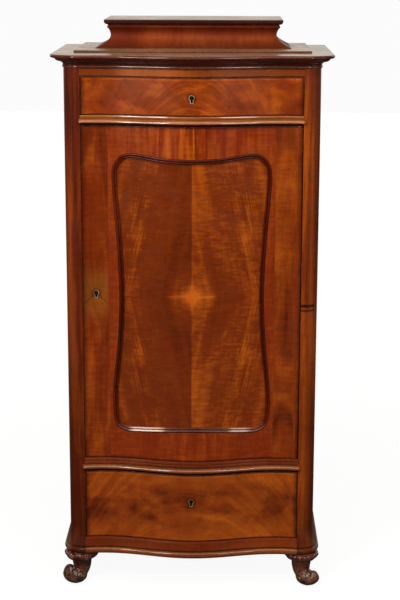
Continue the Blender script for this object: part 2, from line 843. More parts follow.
def corniceProfile():
    size = corniceMould
    radius, quirk, steps = size["beadRadius"], size["quirk"], size["steps"]
    points = [(quirk, 0)] + arcPoints((quirk, radius + quirk), radius, -90, 90, steps)
    coveZ, coveEnd = 2 * (radius + quirk), size["coveStart"] + size["coveReach"]
    points += arcPoints((coveEnd, coveZ), (size["coveReach"], size["coveHeight"]), 180, 90, steps)
    filletZ = coveZ + size["coveHeight"] + size["filletHeight"]
    ovolo = (size["ovoloReach"], size["ovoloHeight"])
    points += [(coveEnd, filletZ)] + arcPoints((size["ovoloStart"], filletZ + ovolo[1]), ovolo, -90, 0, steps)
    nose = (size["noseReach"], size["noseHeight"] / 2)
    middle = (size["reach"] - nose[0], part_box("cornice")[1].z - corniceZ - nose[1])
    return points + arcPoints(middle, nose, -90, 90, steps)


def makeCornice():
    top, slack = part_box("cornice")[1].z, corniceMould["quirk"]
    cornice = stacked("cornice_moulded", corniceProfile(), bodyPlan, corniceZ)
    dress(cornice, "case", "mahogany", makeWood("cornice", "cornice", 6.2, None, dusty), "cornice")
    nose = makeWood("corniceNose", "cornice corniceNose", 6.8, None, dusty)
    paintBetween(cornice, top - corniceMould["noseHeight"] - slack, top + 1, nose)
    bead = makeWood("corniceBead", "cornice corniceBead", 6.5)
    paintBetween(cornice, 0, corniceZ + 2 * corniceMould["beadRadius"] + slack, bead)


boxShape = {
    "waistInset": 0.0385,
    "waistHeight": 0.0335,
    "upperReach": 0.0065,
    "beadRadius": 0.0032,
    "wall": 0.016,
    "ovoloReach": 0.0095,
    "ovoloHeight": 0.0085,
    "fillet": 0.003,
    "edge": 0.0012,
    "beadSetback": 0.0008,
    "beadSteps": 10,
    "steps": 40,
}


def makeTopBox():
    size = boxShape
    low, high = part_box("box_front")
    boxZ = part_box("plinth_board")[1].z
    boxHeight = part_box("box_top")[0].z - boxZ
    waist, waistY = high.x + gap - size["waistInset"], low.y + size["waistInset"]
    inner, innerY = waist - size["wall"], waistY + size["wall"]
    radius, waistZ = size["beadRadius"], size["waistHeight"]
    beadBottom = boxHeight - 2 * radius
    profile = []
    for i in range(size["steps"] + 1):
        height = beadBottom * i / size["steps"]
        if height < waistZ:
            reach = size["waistInset"] * (1 - height / waistZ) ** 2
        else:
            reach = size["upperReach"] * ((height - waistZ) / (beadBottom - waistZ)) ** 2
        profile.append((reach, height))
    beadMiddle = (profile[-1][0] - size["beadSetback"], boxHeight - radius)
    profile += arcPoints(beadMiddle, radius, -90, 90, size["beadSteps"])
    profile[0] = (profile[0][0], gap)

    def frontPiece(reach):
        outer, outerY = waist + reach - gap, waistY - reach
        return (-outer, outerY), (outer, outerY), (inner, innerY), (-inner, innerY)

    def sidePiece(reach):
        outer, outerY = waist + reach, waistY - reach + gap
        return (inner, innerY + gap), (outer, outerY), (outer, backY), (inner, backY)

    veneered = makeWood("boxVeneer", "box", 3.1, None, boxMarks)
    front = stacked("box_front_hollowed", profile, frontPiece, boxZ)
    dress(front, "case", "flame_mahogany", veneered, "box_front")
    for side, hand in sides:
        piece = stacked(f"box_{hand}_hollowed", profile, sidePiece, boxZ, side)
        dress(piece, "case", "flame_mahogany", veneered, f"box_side_{hand}")
    low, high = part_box("box_top")
    ovoloReach, ovoloHeight, edge = size["ovoloReach"], size["ovoloHeight"], size["edge"]
    profile = [(ovoloReach, 0)]
    profile += arcPoints((ovoloReach, size["fillet"] + ovoloHeight), (ovoloReach, ovoloHeight), 270, 180, 12)
    profile += arcPoints((edge, high.z - low.z - edge), edge, 180, 90, 4)

    def topPlan(inset):
        side, lip = high.x - inset, low.y + inset
        return (-side, lip), (side, lip), (side, backY), (-side, backY)

    top = stacked("box_top_moulded", profile, topPlan, low.z)
    dress(top, "case", "mahogany", makeWood("boxTop", "cornice boxTop", 7.7, None, dusty), "box_top")


# the door: its panel's outline runs from the middle of the top to the middle of the bottom
cartouche = {
    "fromSide": 0.0765,
    "fromBottom": 0.0745,
    "fromTop": 0.070,
    "steps": 9,
    "outline": [
        (0, 0.982), (0.355, 0.986), (0.758, 1.0), (0.918, 0.980), (0.990, 0.935), (0.976, 0.837),
        (0.937, 0.696), (0.906, 0.500), (0.937, 0.319), (0.978, 0.209), (1.0, 0.109), (0.966, 0.028),
        (0.831, 0.0013), (0.652, 0), (0.290, 0.006), (0, 0.009),
    ],
    "lip": 0.0095,
    "outerBead": 0.0031,
    "outerProud": 0.0015,
    "innerBead": 0.0024,
    "innerDrop": 0.0025,
    "quirk": 0.0009,
    "beadSteps": 9,
    "spare": 0.001,
    "under": 0.0006,
}
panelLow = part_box("lower_nose_rail")[1].z + cartouche["fromBottom"]
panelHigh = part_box("upper_nose_rail")[0].z - cartouche["fromTop"]
panelMiddle = (panelLow + panelHigh) / 2


def smoothPath(points, steps, closed=False):
    # more points between the given ones, on a smooth curve through them
    count, fine = len(points), []
    for i in range(count if closed else count - 1):
        near = [(i + k) % count if closed else min(max(i + k, 0), count - 1) for k in (-1, 0, 1, 2)]
        before, start, end, after = (Vector(points[k]) for k in near)
        for step in range(steps):
            t = step / steps
            spot = 2 * start + (end - before) * t + (2 * before - 5 * start + 4 * end - after) * t**2
            fine.append(tuple(0.5 * (spot + (3 * start - before - 3 * end + after) * t**3)))
    return fine if closed else fine + [tuple(Vector(points[-1]))]


def cartoucheLoop(steps):
    half = halfOpening - cartouche["fromSide"]
    tall = panelHigh - panelLow
    right = [(half * x, panelLow + tall * z) for x, z in cartouche["outline"]]
    return smoothPath(right + [(-x, z) for x, z in reversed(right[1:-1])], steps, True)


def movedOut(loop, distance):
    area = sum(a[0] * b[1] - b[0] * a[1] for a, b in zip(loop, loop[1:] + loop[:1]))
    moved = []
    for i, point in enumerate(loop):
        run = Vector(loop[(i + 1) % len(loop)]) - Vector(loop[i - 1])
        normal = Vector((run.y, -run.x)).normalized() * math.copysign(distance, area)
        moved.append((point[0] + normal.x, point[1] + normal.y))
    return moved


def prism(name, outline, near, far):
    return loft(name, [[(x, y, z) for x, z in outline] for y in (near, far)])


def prismThroughFront(outline):
    return prism("cutter", outline, faceY - carcase["railDepth"], faceY + carcase["railDepth"])


keyhole = {
    "radius": 0.006,
    "foot": 0.006,
    "rim": 0.0014,
    "fit": 0.0001,
    "steps": 24,
    "plateGrow": 0.0006,
    "plateSetback": 0.0006,
    "plateThick": 0.0004,
    "plateRise": 0.001,
    "pinRadius": 0.0013,
    "pinSteps": 16,
    "pinTip": ((0, 1.0), (0.0016, 1.0), (0.0021, 0.6)),
}


def keyholeOutline(place, grow, lean, rise):
    # a round head on a foot; lean is where the circle meets the foot
    low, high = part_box(f"{place}_keyhole_rim")
    radius, halfFoot = keyhole["radius"] + grow, keyhole["foot"] / 2 + grow
    x, z = (low.x + high.x) / 2, high.z - keyhole["radius"] - keyhole["rim"]
    outline = arcPoints((x, z), radius, -90 + lean, 270 - lean, keyhole["steps"])
    return outline + [(x - halfFoot, low.z + rise), (x + halfFoot, low.z + rise)]


def keyholeLean(grow):
    return math.degrees(math.asin((keyhole["foot"] / 2 + grow) / (keyhole["radius"] + grow)))


def keyholePrism(place):
    grow = keyhole["rim"] + keyhole["fit"]
    return prismThroughFront(keyholeOutline(place, grow, keyholeLean(grow), -keyhole["fit"]))


def makeKeyPlates():
    # the dark plate and the pin of each lock, seen through its keyhole
    shown = makeMetal("keyholeIron", "keyholeIron")
    size = keyhole
    for place in locked:
        low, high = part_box(f"{place}_keyhole_rim")
        face = high.y - size["plateSetback"]
        outline = keyholeOutline(place, size["plateGrow"], keyholeLean(0), size["plateRise"])
        dress(prism(f"{place}_key_plate", outline, face, face + size["plateThick"]), place, "iron", shown)
        x, z = (low.x + high.x) / 2, high.z - size["radius"] - size["rim"]
        circle = arcPoints((0, 0), size["pinRadius"], 0, 360, size["pinSteps"])[:-1]
        rings = []
        for setback, share in size["pinTip"]:
            rings.append([(x + u * share, face - setback, z + w * share) for u, w in circle])
        dress(loft(f"{place}_key_pin", rings), place, "iron", makeMetal(f"{place}Pin", "iron"))


veneer = {
    "proud": 0.0004,
    "sunk": 0.0004,
    "ease": 0.0007,
    "seamX": 0.2145,
    "seam": 0.00015,
    "short": 0.0002,
    "clear": 0.0001,
    "rounding": 0.006,
    "turned": 12,
}


def veneerSheet(name, places, low, high, setback=0.0, rounding=0.0):
    # a thin sheet that follows the front; rounding turns it over at its right edge
    front = [(x, frontY(x) + setback - veneer["proud"]) for x in places]
    back = [(x, frontY(x) + setback + veneer["sunk"]) for x in places]
    if rounding:
        edge = places[-1]
        centre = (edge - rounding, frontY(edge) + setback + rounding)
        keep = [i for i, x in enumerate(places) if x < edge - rounding]
        outer, inner = rounding + veneer["proud"], rounding - veneer["sunk"]
        front = [front[i] for i in keep] + arcPoints(centre, outer, -90, -4, veneer["turned"])
        back = [back[i] for i in keep] + arcPoints(centre, inner, -90, -4, veneer["turned"])
    rings = []
    ease = veneer["ease"]
    for z, easing in ((low, ease), (low + ease, 0), (high - ease, 0), (high, ease)):
        rings.append([(x, y + easing, z) for x, y in front] + [(x, y, z) for x, y in back[::-1]])
    return loft(name, rings)


def makeDoor():
    low, high = doorLow + veneer["short"], doorHigh - veneer["short"]
    edge, seamX, seam = halfOpening - carcase["doorGap"], veneer["seamX"], veneer["seam"]
    leftWood = makeWood("leftStile", "frame", 8.8, stileFigure, doorMarks)
    edges = grimeAlong(halfOpening, doorLow, doorHigh, [], 0.0050, 0.8)
    rightWood = makeWood("rightStile", "frame rightStile", 11.3, stileFigure, edges)
    ends = grimeAlong(1.0, doorLow, doorHigh, [], 0.011, 0.75)
    fieldWood = makeWood("doorField", "field", 3.9, fieldFigure, ends)
    outline = cartoucheLoop(cartouche["steps"])
    left = veneerSheet("door_left_veneer", acrossFront(veneer["clear"] - edge, -seamX - seam), low, high)
    carvedThrough(left, keyholePrism("door"))
    places = acrossFront(seamX + seam, edge)
    right = veneerSheet("door_right_veneer", places, low, high, 0, veneer["rounding"])
    field = veneerSheet("door_field_veneer", acrossFront(-seamX, seamX), low, high)
    carvedThrough(field, prismThroughFront(outline))
    for piece, finish in ((left, leftWood), (right, rightWood), (field, fieldWood)):
        dress(piece, "door", "mahogany", finish)
    spare = cartouche["spare"]
    half = halfOpening - cartouche["fromSide"] + spare
    low, high = panelLow - spare, panelHigh + spare
    panel = veneerSheet("panel_veneer", acrossFront(-half, half), low, high, cartouche["lip"])
    carvedThrough(panel, prismThroughFront(movedOut(outline, cartouche["under"])), "INTERSECT")
    dress(panel, "door", "flame_mahogany", makeWood("panelVeneer", "panel", 1.2, panelFigure))


def beadSection():
    size = cartouche
    outer, inner, steps = size["outerBead"], size["innerBead"], size["beadSteps"]
    depth = outer - size["outerProud"]
    section = [(gap, size["lip"])] + arcPoints((gap + outer, depth), outer, 180, 360, steps)
    start = gap + 2 * outer + size["quirk"]
    section.append((start, depth + size["quirk"]))
    section += arcPoints((start + inner, depth + size["innerDrop"]), inner, 180, 360, steps)
    return section + [(start + 2 * inner, size["lip"])]


def closedCurve(name, points):
    data = bpy.data.curves.new(name, "CURVE")
    data.dimensions = "3D"
    spline = data.splines.new("POLY")
    spline.points.add(len(points) - 1)
    for spot, point in zip(spline.points, points):
        spot.co = (*point, 0, 1)
    spline.use_cyclic_u = True
    return addObject(name, data)


def newTree(name, inputs):
    # a node group with a geometry in and out, and named inputs after it
    tree = bpy.data.node_groups.new(name, "GeometryNodeTree")
    face, sockets = tree.interface, {}
    face.new_socket("Geometry", in_out="INPUT", socket_type="NodeSocketGeometry")
    face.new_socket("Geometry", in_out="OUTPUT", socket_type="NodeSocketGeometry")
    for label, kind in inputs.items():
        sockets[label] = face.new_socket(label, in_out="INPUT", socket_type=f"NodeSocket{kind}").identifier
    given = {output.name: Wire(output) for output in tree.nodes.new("NodeGroupInput").outputs}
    return tree, given, sockets


def finishGrowth(geometry, finish):
    real = wired(geometry.tree, "GeometryNodeRealizeInstances", {0: geometry})
    painted = wired(geometry.tree, "GeometryNodeSetMaterial", {"Geometry": real, "Material": finish})
    addNode(geometry.tree, "NodeGroupOutput", {0: painted})


def grown(owner, tree, sockets, values, name):
    # runs the tree on its owner and keeps the result as a plain mesh
    modifier = owner.modifiers.new("grow", "NODES")
    modifier.node_group = tree
    for label, value in values.items():
        modifier[sockets[label]] = value
    shape = takenShape(owner)
    bpy.data.objects.remove(owner)
    return newPiece(name, shape, 50)


def makeMoulding():
    tree, given, sockets = newTree("bead round the panel", {
        "Section": "Object",
        "Swell": "Float",
        "Swell half width": "Float",
        "Face": "Float",
        "Finish": "Material",
    })
    turned = wired(tree, "GeometryNodeSetCurveNormal", {0: given["Geometry"]}, mode="Z_UP")
    section = wired(tree, "GeometryNodeObjectInfo", {"Object": given["Section"]}, "Geometry")
    swept = wired(tree, "GeometryNodeCurveToMesh", {"Curve": turned, "Profile Curve": section})
    across, along, depth = parted(wired(tree, "GeometryNodeInputPosition"))
    bow = sums("COSINE", across / given["Swell half width"] * math.pi) * given["Swell"] * -0.5
    front = bow + given["Face"] + depth
    placed = {"Geometry": swept, "Position": joined(across, front, along)}
    finishGrowth(wired(tree, "GeometryNodeSetPosition", placed), given["Finish"])
    material = makeWood("panelBead", "bead", 9.4, None, beadMarks)
    loop = closedCurve("cartouche_path", cartoucheLoop(cartouche["steps"]))
    profile = closedCurve("bead_section", [(inwards, -depth) for inwards, depth in beadSection()])
    moulding = grown(loop, tree, sockets, {
        "Section": profile,
        "Swell": carcase["bulge"],
        "Swell half width": hollowX,
        "Face": faceY - carcase["bulge"] / 2 + swell(halfOpening),
        "Finish": material,
    }, "cartouche_moulding")
    bpy.data.objects.remove(profile)
    dress(moulding, "door", "dark_mahogany", material, "door_moulding")


def makeDrawerFronts():
    half = halfOpening - carcase["drawerGap"]
    flames = (("upper", "drawer", 2.7, upperFigure), ("lower", "drawer lower", 6.6, lowerFigure))
    for level, kinds, seed, figure in flames:
        low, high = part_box(f"{level}_drawer_front")
        sheet = veneerSheet(f"{level}_drawer_veneer", acrossFront(-half, half), low.z, high.z)
        carvedThrough(sheet, keyholePrism(f"{level}_drawer"))
        marks = grimeAlong(half, low.z, high.z, [f"{level}_drawer_keyhole_rim"])
        finish = makeWood(f"{level}Flame", kinds, seed, figure, marks)
        dress(sheet, f"{level}_drawer", "flame_mahogany", finish)


def stileFigure(place):
    waves = noise(stretched(place, (14, 14, 3.4)), 1.0, 3, 1.5)
    return centred(waves, 1.15) + curl(place, 0.36, 18, 120)


def fieldFigure(place):
    # upright flames, strongest over the middle of the door's top
    middle = eased(abs(place.x), 0.02, 0.15, 1.0, 0.25)
    high = eased(place.z, panelHigh - 0.05, panelHigh + 0.02, 0.35)
    flames = noise(stretched(place, (60, 60, 5)), 1.0, 3, 0.9)
    glow = middle * high * 0.07
    return centred(flames, 1.5) * middle * high + glow + curl(place, 0.30, 24, 130)


def panelFigure(place):
    # four leaves of one veneer, opened about the middle like a book
    rise = place.z - panelMiddle
    up = abs(rise)
    side = abs(place.x)
    leaf = joined(side, 0.0, up)
    wander = centred(noise(leaf, 6, 1, 0.0), 0.012)
    slant = side + up * 0.225 + wander
    streakPlace = joined(slant, 0.0, up * 0.045)
    broad = centred(noise(streakPlace, 34, 3, 0.2), 0.42)
    feathers = centred(noise(streakPlace, 260, 2), 1.1)
    band = window(slant, 0.140, 0.172, 0.190, 0.225)
    patchy = rescale(noise(leaf, 16, 2), 0.38, 0.60)
    feathers = feathers * band * patchy + band * patchy * 0.10
    rays = (side * 18) ** 0.65 + (up * 26) ** 0.65
    star = eased(rays + centred(noise(leaf, 60, 3), 0.5), 0.0, 1.5, 0.66, 0.0)
    olive = window(slant + up * 0.35, 0.05, 0.075, 0.11, 0.15) * -0.10
    left = rescale(place.x, -0.0006, 0.0006, 1.0, 0.0)
    right = 1.0 - left
    ragged = side + centred(noise(stretched(place, (1, 1, 0.2)), 40, 2), 0.030)
    away = eased(up, 0.03, 0.10)
    dark = left * eased(ragged, 0.010, 0.075, -0.14, -0.02) * away
    light = right * eased(ragged, 0.002, 0.060, 0.12, 0.06)
    joint = rescale(side, 0.0003, 0.0010, -0.08, 0.0)
    dabs = curl(place, 0.38, 34, 165)
    return broad + feathers + star + olive + dark + light + joint + dabs - 0.01


def archFigure(place, middleZ, flatness, spread, amount, fine):
    # arches of growth rings that open downwards round a spot
    wander = centred(noise(stretched(place, (1, 1, 0.7)), 9, 3, 0.5), 0.030)
    ring = place.z - middleZ + place.x * place.x * flatness + wander
    leaf = joined(ring * spread, 0.0, place.x * 2.2)
    coarse = centred(noise(leaf, 1.0, 4, 0.4), amount)
    return coarse + centred(noise(stretched(leaf, (5, 1, 1)), 1.0, 2), fine)


def upperFigure(place):
    low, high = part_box("upper_drawer_front")
    arches = archFigure(place, low.z, 5.5, 90, 0.62, 0.50)
    near = eased(abs(place.x), 0.03, 0.20, 1.0, 0.35)
    clouds = centred(noise(stretched(place, (1, 1, 1.4)), 16, 3, 0.8), 0.95)
    fall = rescale(place.x, 0.10, 0.26, 0.0, -0.10)
    return arches * near + clouds + fall + topLight(place, high.z) + curl(place, 0.26, 20, 90)


def topLight(place, high):
    # the worn upper edge of a drawer catches the light
    return window(place.z, high - 0.0085, high - 0.006, high - 0.0045, high - 0.0025) * 0.16


def lowerFigure(place):
    low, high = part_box("lower_drawer_front")
    arches = archFigure(place, low.z + 0.03, 3.0, 34, 0.55, 0.24)
    middle = window(place.z, low.z + 0.025, low.z + 0.065, high.z - 0.060, high.z - 0.020)
    clouds = noise(stretched(place, (1, 1, 1.5)), 13, 4, 0.5)
    shadow = middle * eased(clouds, 0.36, 0.62, -0.24, 0.05)
    toLeft = rescale(place.x, -0.12, 0.10, -0.04, 0.05)
    feathers = centred(noise(stretched(place, (26, 26, 9)), 1.0, 3, 1.0), 0.34)
    edges = (1.0 - middle) * 0.08
    ripples = curl(place, 0.20, 22, 80)
    return arches + shadow + toLeft + feathers + edges + topLight(place, high.z) + ripples


def grimeAlong(half, low, high, keyholes, reach=0.0038, strength=0.85):
    # old polish and dust gather along a sheet's edges and round its keyholes
    def marks(place, shade):
        toSide = half - abs(place.x)
        toEnd = sums("MINIMUM", place.z - low, high - place.z)
        near = sums("MINIMUM", toSide, toEnd * 1.4)
        ragged = near + centred(noise(place, 70, 3, 0.5), 0.006)
        dirt = eased(ragged, 0.0, reach, strength, 0.0)
        dirt = sums("MAXIMUM", dirt, rescale(near, 0.0022, 0.0046, 0.92, 0.0))
        soft = eased(toSide + ragged - near, -0.002, 0.016, 0.82, 0.0)
        dirt = sums("MAXIMUM", dirt, soft)
        for rim in keyholes:
            lowest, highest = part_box(rim)
            middle = ((lowest.x + highest.x) / 2, (lowest.y + highest.y) / 2, highest.z - 0.0090)
            around = distance(place, middle) + centred(noise(place, 260), 0.010)
            dirt = sums("MAXIMUM", dirt, eased(around, 0.009, 0.016, 0.62, 0.0))
        return mixed(dirt, shade, stains["grime"])
    return marks


def doorMarks(place, shade):
    # two old seams run down from the keyhole, and the wood round them is a little greener
    low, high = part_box("door_keyhole_rim")
    keyX, keyZ = (low.x + high.x) / 2, high.z - 0.0074
    wobble = centred(noise(place, 120, 2), 0.003)
    besideIt = abs(place.x - keyX + wobble)
    beneath = keyZ - place.z
    ray = besideIt - beneath * 1.05
    line = rescale(abs(ray), 0.0005, 0.0019, 0.85, 0.0)
    line = line * window(beneath, 0.003, 0.006, 0.024, 0.030)
    rise = abs(place.z - keyZ + centred(noise(place, 12, 2), 0.06))
    patch = eased(rise, 0.035, 0.085, 0.50, 0.0) * rescale(place.x, -0.205, -0.225)
    shade = mixed(patch, shade, stains["patch"])
    shade = mixed(line, shade, stains["seam"])
    edges = grimeAlong(halfOpening, doorLow, doorHigh, ["door_keyhole_rim"], 0.0085, 0.8)
    return edges(place, shade)


# front feet, in millimetres: forward from the middle of the corner, across, and up
foot = {
    "heading": 45,
    "leg": [
        (5, 27, 15, 13), (12, 25.5, 16.5, 16), (22, 21, 19.5, 19.5), (34, 16, 21.8, 22.5), (46, 14, 24, 24.5),
        (56, 14.5, 25.5, 26), (64, 15, 26, 27.5), (72, 14.5, 26, 30), (78, 14, 29, 33), (84, 13.5, 34, 36.5),
        (88, 13.5, 38, 39), (93.2, 13.5, 43, 42),
    ],
    "ball": {"middle": (31.5, 0, 21), "halves": (28.5, 25, 22)},
    "toe": {
        "left": [
            (34, 9, 9, 19), (46, 11.5, 9.5, 21), (57.5, 18, 9.5, 21), (63.5, 29, 8.5, 19.5),
            (63.5, 41, 7.5, 16), (60, 50, 6.5, 12.5), (54, 53, 5.2, 10), (50, 51, 4.2, 7.5),
        ],
        "right": [
            (34, 9, 9, 19), (46, 11, 9.5, 21), (58, 16.5, 9.5, 21), (63.5, 25, 8, 18),
            (64, 34, 6.3, 13), (61, 40, 5.2, 10), (56.5, 41.5, 4.4, 8), (52.5, 39, 3.8, 6.5),
        ],
    },
    "around": 40,
    "lobes": {"left": 7, "right": 15},
    "lobe": {
        "middle": 14, "reach": 42, "across": 40, "spread": 270, "top": 90, "thick": 8.0, "lean": 12,
        "fill": 0.52, "short": 0.88, "levels": 8, "around": 16, "tip": 0.15,
    },
    "drop": {"left": 26, "right": 22},
    "spiral": {
        "middle": (31, 20.5), "radius": 19.5, "eye": 4.2, "start": 70, "turns": 1.55, "depth": 2.4,
        "below": 48, "within": 24, "half": 0.9, "widens": 0.05, "eyeRise": 0.9, "eyeSize": 3.6,
    },
    "groove": {"below": 50, "from": 34, "away": 8.5, "half": 1.3, "depth": 1.2},
    "neck": {"low": 44, "high": 76, "depth": 1.2, "flutes": 4.5},
    "voxel": 0.9,
    "passes": 2,
    "smoothing": 0.5,
    "sharpAngle": 75,
}


def roundTurns(count):
    return [2 * math.pi * i / count for i in range(count)]


def footLeg(shape):
    turns = roundTurns(foot["around"])
    rings = []
    for level, middle, long, wide in smoothPath(foot["leg"], 3):
        rings.append([(middle + long * math.cos(t), wide * math.sin(t), level) for t in turns])
    joinRings(shape, rings)
    ball = bmesh.ops.create_uvsphere(shape, u_segments=32, v_segments=16, radius=1.0)
    middle, halves = foot["ball"]["middle"], foot["ball"]["halves"]
    for vertex in ball["verts"]:
        vertex.co = [middle[i] + vertex.co[i] * halves[i] for i in range(3)]


def footToe(shape, hand):
    # the toe runs forward under the ball and curls up and back in front of it
    turns = roundTurns(foot["around"])
    path = smoothPath(foot["toe"][hand], 4)
    rings = []
    for i, (u, w, thick, wide) in enumerate(path):
        ahead, behind = path[min(i + 1, len(path) - 1)], path[max(i - 1, 0)]
        run = Vector((ahead[0] - behind[0], ahead[1] - behind[1])).normalized()
        ring = []
        for t in turns:
            out = thick * math.cos(t)
            ring.append((u - run.y * out, wide * math.sin(t), w + run.x * out))
        rings.append(ring)
    joinRings(shape, rings)


def footLobes(shape, hand):
    # a row of carved lobes hangs round the knee
    lobe, count = foot["lobe"], foot["lobes"][hand]
    levels = lobe["levels"]
    step = math.radians(lobe["spread"] / count)
    width = step * (lobe["reach"] + lobe["across"]) / 2 * lobe["fill"]
    turns = roundTurns(lobe["around"])
    for i in range(count):
        heading = step * (i + 0.5 - count / 2)
        drop = foot["drop"][hand] * (lobe["short"] if i % 2 == 0 else 1.0)
        rings = []
        for level in range(levels + 1):
            share = level / levels
            bulge = math.sin(math.pi * (0.12 + 0.88 * share)) ** 0.6 if level < levels else lobe["tip"]
            inwards = lobe["lean"] * share**1.6
            middle = lobe["middle"] + (lobe["reach"] - inwards) * math.cos(heading)
            aside = (lobe["across"] - inwards) * math.sin(heading)
            ring = []
            for t in turns:
                out, over = lobe["thick"] * bulge * math.cos(t), width * bulge**0.5 * math.sin(t)
                u = middle + out * math.cos(heading) - over * math.sin(heading)
                v = aside + out * math.sin(heading) + over * math.cos(heading)
                ring.append((u, v, lobe["top"] - drop * share))
            rings.append(ring)
        joinRings(shape, rings)


def footCarving(place, normal):
    # how deep the carver went at one spot of the foot: a spiral on each side, grooves on toe and neck
    u, v, w = place
    depth = 0.0
    spiral, groove, neck = foot["spiral"], foot["groove"], foot["neck"]
    sideways = min(1, max(0, (abs(normal.y) - 0.35) / 0.35))
    across, up = u - spiral["middle"][0], w - spiral["middle"][1]
    radius, angle = math.hypot(across, up), math.degrees(math.atan2(up, across))
    if sideways and w < spiral["below"] and radius < spiral["within"]:
        end = 360 * spiral["turns"]
        shrink = math.log(spiral["radius"] / spiral["eye"]) / end
        for lap in range(3):
            wound = (spiral["start"] - angle) % 360 + 360 * lap
            if wound <= end:
                line = spiral["radius"] * math.exp(-shrink * wound)
                half = spiral["half"] + spiral["widens"] * line
                depth += spiral["depth"] * sideways * math.exp(-(((radius - line) / half) ** 2))
        depth -= spiral["eyeRise"] * sideways * math.exp(-((radius / spiral["eyeSize"]) ** 2))
    if w < groove["below"] and u > groove["from"]:
        front = (1 - sideways) * min(1, (u - groove["from"]) / 6)
        depth += groove["depth"] * front * math.exp(-(((abs(v) - groove["away"]) / groove["half"]) ** 2))
    if neck["low"] < w < neck["high"]:
        turn = math.atan2(v, u - foot["lobe"]["middle"])
        fade = math.sin(math.pi * (w - neck["low"]) / (neck["high"] - neck["low"]))
        fade *= min(1, max(0, math.cos(turn) + 0.6))
        depth += neck["depth"] * fade * (1 - abs(math.sin(turn * neck["flutes"])) ** 0.5)
    return depth


def footMarks(place, shade):
    # red neck, scroll rubbed to a dull olive brown, nearly black where it meets the floor
    ragged = place.z + centred(noise(place, 45, 3, 0.6), 0.020)
    spots = noise(place, 110, 3, 0.8)
    scroll = eased(ragged, 0.030, 0.062, 0.85, 0.0) * rescale(spots, 0.40, 0.56)
    shade = mixed(scroll, shade, stains["olive"])
    knee = rescale(ragged, 0.062, 0.072) * rescale(spots, 0.52, 0.60, 0.0, 0.8)
    shade = mixed(knee, shade, stains["pinkKnee"])
    return mixed(eased(ragged, 0.006, 0.026, 0.9, 0.0), shade, stains["floorDirt"])


def makeFrontFeet():
    heading = math.radians(foot["heading"])
    centre = Vector((carcase["halfWidth"] - carcase["cornerRadius"], faceY + carcase["cornerRadius"]))
    ahead = Vector((math.cos(heading), -math.sin(heading)))
    aside = Vector((math.sin(heading), math.cos(heading)))
    for side, hand in sides:
        shape = bmesh.new()
        footLeg(shape)
        footToe(shape, hand)
        footLobes(shape, hand)
        blank = newPiece(f"{hand}_foot_blank", shape, 180)
        modifier = blank.modifiers.new("one body", "REMESH")
        modifier.mode = "VOXEL"
        modifier.voxel_size = foot["voxel"]
        shape = takenShape(blank)
        bpy.data.objects.remove(blank)
        axes = {"use_axis_x": True, "use_axis_y": True, "use_axis_z": True}
        for i in range(foot["passes"]):
            bmesh.ops.smooth_vert(shape, verts=shape.verts, factor=foot["smoothing"], **axes)
        shape.normal_update()
        carved = [vertex.co - vertex.normal * footCarving(vertex.co, vertex.normal) for vertex in shape.verts]
        for vertex, (u, v, w) in zip(shape.verts, carved):
            spot = centre + (ahead * u + aside * v) / 1000
            vertex.co = (side * spot.x, spot.y, min(max(w / 1000, 0), baseZ - gap))
        piece = newPiece(f"{hand}_foot_carved", shape, foot["sharpAngle"])
        material = makeWood(f"{hand}Foot", "carved", 4 + side, None, footMarks)
        dress(piece, "case", "dark_mahogany", material, f"front_foot_{hand}")


def makePlinth():
    low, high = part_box("plinth_board")
    edge = boxShape["edge"]

    def plan(inset):
        left, right, front = low.x + inset, high.x - inset, low.y + inset
        return (left, front), (right, front), (right, high.y), (left, high.y)

    levels = ((edge, low.z), (0, low.z + edge), (0, high.z - edge), (edge, high.z))
    material = makeWood("plinth", "cornice plinth", 5.9, None, dusty)
    dress(stacked("plinth_eased", levels, plan), "case", "mahogany", material, "plinth_board")


# metals
metals = {
    "brass": {"dark": (128, 92, 50), "light": (226, 200, 148), "rough": 0.34, "metallic": 0.75},
    "iron": {"dark": (34, 30, 28), "light": (92, 84, 78), "rough": 0.48, "metallic": 0.9},
    "keyholeIron": {"dark": (8, 7, 6), "light": (22, 19, 17), "rough": 0.7, "metallic": 0.9},
    "bump": 0.15,
    "bumpDepth": 0.0002,
    "edgeRadius": 0.0003,
}


def makeMetal(name, kind):
    look = metals[kind]
    material, shader, place = startMaterial(name)
    tarnish = noise(place, 90, 4, 0.6)
    scratches = noise(stretched(place, (1, 1, 0.1)), 900, 2)
    bumped = wired(place.tree, "ShaderNodeBump", {
        "Strength": metals["bump"],
        "Distance": metals["bumpDepth"],
        "Height": scratches,
        "Normal": edgeMask(place.tree, metals["edgeRadius"])[1],
    })
    feed(shader, {
        "Base Color": ramp(tarnish * 0.8 + scratches * 0.2, [(0.35, look["dark"]), (0.62, look["light"])]),
        "Roughness": rescale(tarnish, 0.3, 0.7, look["rough"] + 0.15, look["rough"]),
        "Metallic": look["metallic"],
        "Normal": bumped,
    })
    return material


# which look a node of the frame takes, and which way its grain runs: the first row with a word
# that is part of its name; the last row takes the rest
nodeFinishes = (
    (("keyhole_rim", "bolt", "hinge_plate"), "brass", None),
    (("lock_case",), "iron", None),
    (("shelf", "divider", "bottom_board", "box_back"), "pine", "x"),
    (("back_panel",), "pine", "z"),
    (("door_rail",), "frame", "x"),
    (("door_panel",), "panel", "z"),
    (("drawer_front",), "drawer", "x"),
    (("drawer_guide", "drawer_side", "box_side"), "pine", "y"),
    (("drawer_back", "drawer_bottom"), "pine", "x"),
    (("rear_foot",), "rear", "z"),
    (("",), "frame", "z"),
)


def finishFor(node):
    # the look of a node and the way its grain runs; metals have no grain
    return next((look, grain) for words, look, grain in nodeFinishes if any(word in node for word in words))


